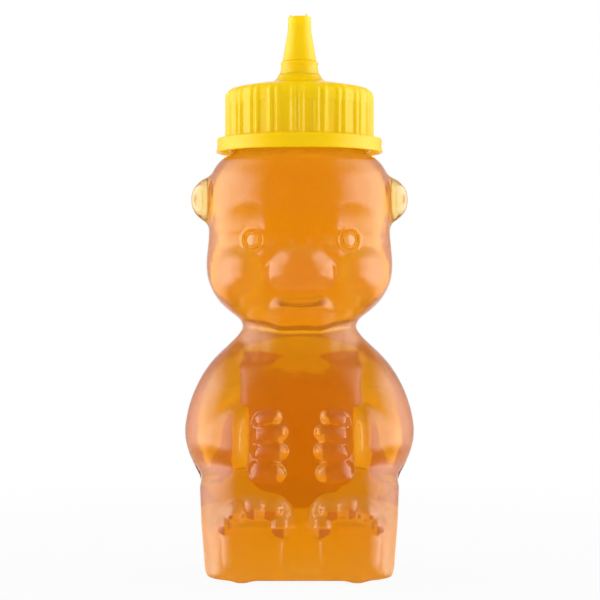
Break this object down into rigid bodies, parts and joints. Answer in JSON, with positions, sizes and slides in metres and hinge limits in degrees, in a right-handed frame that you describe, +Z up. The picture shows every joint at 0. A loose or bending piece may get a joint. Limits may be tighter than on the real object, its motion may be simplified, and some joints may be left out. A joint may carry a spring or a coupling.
{
  "type": "squeeze bottle",
  "caption": "Clear squeeze bottle in the shape of a sitting bear, filled with honey, with a ribbed screw cap, spout and pull-off tip cap.",
  "frame": {"origin": "middle of the surface that the bottle stands on, on the axis of the neck", "axes": "+Z up along the neck's axis, -Y out of the bear's face, +X to the viewer's right when facing the bear"},
  "size_m": [0.0618, 0.0509, 0.1504],
  "materials": {
    "clear_bottle": "clear, glossy, softly uneven from blow moulding",
    "honey": "amber honey, translucent",
    "gasket": "white foam, matte",
    "yellow_cap": "satin yellow moulded plastic",
    "yellow_tip": "satin yellow moulded plastic"
  },
  "bodies": {
    "bottle_body": {"bottle": "clear_bottle", "honey": "honey"},
    "gasket_ring": {"gasket": "gasket"},
    "screw_cap": {"cap": "yellow_cap"},
    "spout_tip": {"tip_cap": "yellow_tip"}
  },
  "joints": [
    {"name": "cap_lift", "type": "slide", "parent": "bottle_body", "child": "gasket_ring", "axis": [0, 0, 1], "range_m": [0, 0.0159]},
    {"name": "cap_turn", "type": "hinge", "parent": "gasket_ring", "child": "screw_cap", "pos_m": [0, 0, 0.12], "axis": [0, 0, 1], "range_deg": [0, 1350]},
    {"name": "tip_pull", "type": "slide", "parent": "screw_cap", "child": "spout_tip", "axis": [0, 0, 1], "range_m": [0, 0.02]}
  ],
  "couplings": [
    {"joint": "cap_lift", "follows": "cap_turn", "m_per_rad": 0.00067322}
  ]
}
